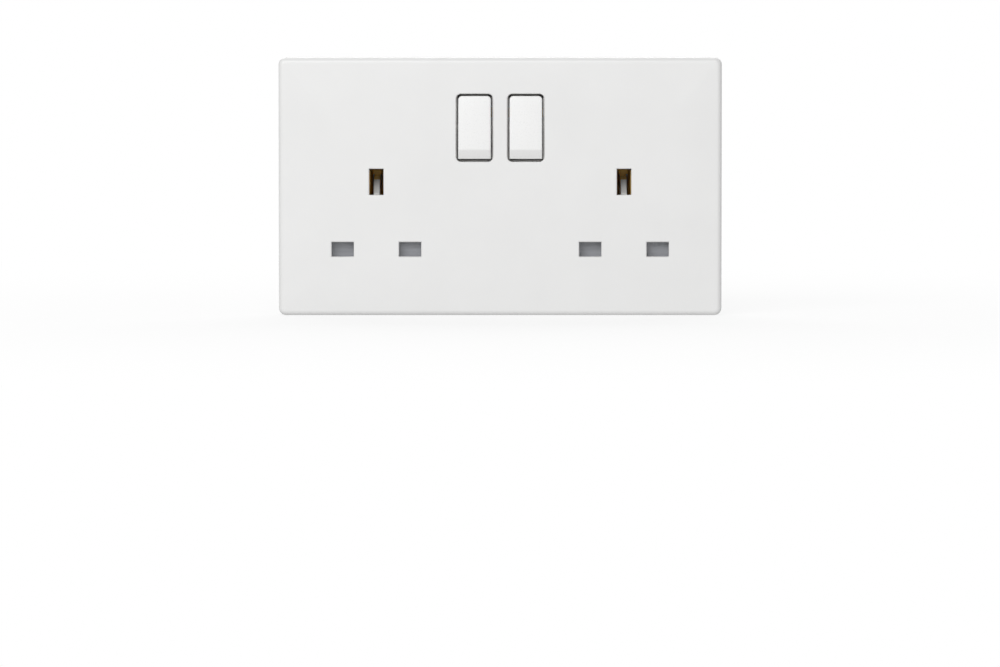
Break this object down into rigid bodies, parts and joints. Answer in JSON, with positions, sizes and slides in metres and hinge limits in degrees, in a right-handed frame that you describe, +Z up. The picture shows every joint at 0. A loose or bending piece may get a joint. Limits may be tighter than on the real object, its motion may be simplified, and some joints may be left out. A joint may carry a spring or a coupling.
{
  "type": "switched wall socket",
  "caption": "Switched wall socket: clip-on white cover, rocker switches, shuttered pin slots, pressed steel mounting frame and moulded rear housing with tilted screw terminals.",
  "frame": {"origin": "middle of the mounting frame's rear face, where it meets the wall", "axes": "+X right seen from the front, +Y into the wall, +Z up"},
  "size_m": [0.146, 0.0342, 0.085],
  "materials": {
    "cover_white": "satin white moulded plastic",
    "inner_white": "matte white moulded plastic",
    "housing_white": "satin white moulded plastic",
    "rocker_white": "glossy white moulded plastic",
    "plunger_white": "natural low-friction plastic",
    "shutter_grey": "grey moulded plastic",
    "frame_steel": "zinc-plated pressed sheet, dull grey",
    "strip_brass": "rolled sheet",
    "terminal_brass": "drawn and machined",
    "screw_brass": "turned",
    "contact_silver": "silver alloy tip",
    "spring_steel": "spring wire"
  },
  "bodies": {
    "socket": {"front_plate": "cover_white", "mounting_frame": "frame_steel", "inner_front": "inner_white", "rear_housing": "housing_white", "neutral_bar": "strip_brass", "line_bar": "strip_brass", "earth_bar": "strip_brass", "earth_strap": "strip_brass", "line_contact_left": "strip_brass", "line_contact_right": "strip_brass", "fixed_contact_left": "contact_silver", "fixed_contact_right": "contact_silver", "line_terminal": "terminal_brass", "neutral_terminal": "terminal_brass", "earth_terminal": "terminal_brass", "shutter_spring_left": "spring_steel", "shutter_spring_right": "spring_steel"},
    "rocker_left": {"rocker_left": "rocker_white", "rocker_spring_left": "spring_steel"},
    "plunger_left": {"rocker_plunger_left": "plunger_white"},
    "arm_left": {"switch_arm_left": "strip_brass", "moving_contact_left": "contact_silver"},
    "shutter_left": {"shutter_left": "shutter_grey"},
    "rocker_right": {"rocker_right": "rocker_white", "rocker_spring_right": "spring_steel"},
    "plunger_right": {"rocker_plunger_right": "plunger_white"},
    "arm_right": {"switch_arm_right": "strip_brass", "moving_contact_right": "contact_silver"},
    "shutter_right": {"shutter_right": "shutter_grey"},
    "line_screw": {"line_terminal_screw": "screw_brass"},
    "neutral_screw": {"neutral_terminal_screw": "screw_brass"},
    "earth_screw": {"earth_terminal_screw": "screw_brass"}
  },
  "joints": [
    {"name": "rocker_left_tilt", "type": "hinge", "parent": "socket", "child": "rocker_left", "pos_m": [-0.00845, -0.004, 0.0194], "axis": [1, 0, 0], "range_deg": [0, 12]},
    {"name": "arm_left_tilt", "type": "hinge", "parent": "socket", "child": "arm_left", "pos_m": [-0.00845, 0.0063, 0.0194], "axis": [1, 0, 0], "range_deg": [-12, 0]},
    {"name": "plunger_left_slide", "type": "slide", "parent": "rocker_left", "child": "plunger_left", "axis": [0, 0.9945, -0.1045], "range_m": [-0.0008, 0], "stiffness_N_per_m": 400, "springref_m": 0.002, "deforming": ["rocker_spring_left"]},
    {"name": "shutter_left_slide", "type": "slide", "parent": "socket", "child": "shutter_left", "axis": [0, 0, -1], "range_m": [0, 0.0056], "stiffness_N_per_m": 150, "springref_m": -0.004, "deforming": ["shutter_spring_left"]},
    {"name": "rocker_right_tilt", "type": "hinge", "parent": "socket", "child": "rocker_right", "pos_m": [0.00845, -0.004, 0.0194], "axis": [1, 0, 0], "range_deg": [0, 12]},
    {"name": "arm_right_tilt", "type": "hinge", "parent": "socket", "child": "arm_right", "pos_m": [0.00845, 0.0063, 0.0194], "axis": [1, 0, 0], "range_deg": [-12, 0]},
    {"name": "plunger_right_slide", "type": "slide", "parent": "rocker_right", "child": "plunger_right", "axis": [0, 0.9945, -0.1045], "range_m": [-0.0008, 0], "stiffness_N_per_m": 400, "springref_m": 0.002, "deforming": ["rocker_spring_right"]},
    {"name": "shutter_right_slide", "type": "slide", "parent": "socket", "child": "shutter_right", "axis": [0, 0, -1], "range_m": [0, 0.0056], "stiffness_N_per_m": 150, "springref_m": -0.004, "deforming": ["shutter_spring_right"]},
    {"name": "line_screw_drive", "type": "slide", "parent": "socket", "child": "line_screw", "axis": [0, -0.3007, -0.9537], "range_m": [0, 0.0024]},
    {"name": "neutral_screw_drive", "type": "slide", "parent": "socket", "child": "neutral_screw", "axis": [0, -0.3007, -0.9537], "range_m": [0, 0.0024]},
    {"name": "earth_screw_drive", "type": "slide", "parent": "socket", "child": "earth_screw", "axis": [0, -0.3007, -0.9537], "range_m": [0, 0.0024]}
  ],
  "couplings": [
    {"joint": "arm_left_tilt", "follows": "rocker_left_tilt", "ratio": -1},
    {"joint": "arm_right_tilt", "follows": "rocker_right_tilt", "ratio": -1}
  ]
}
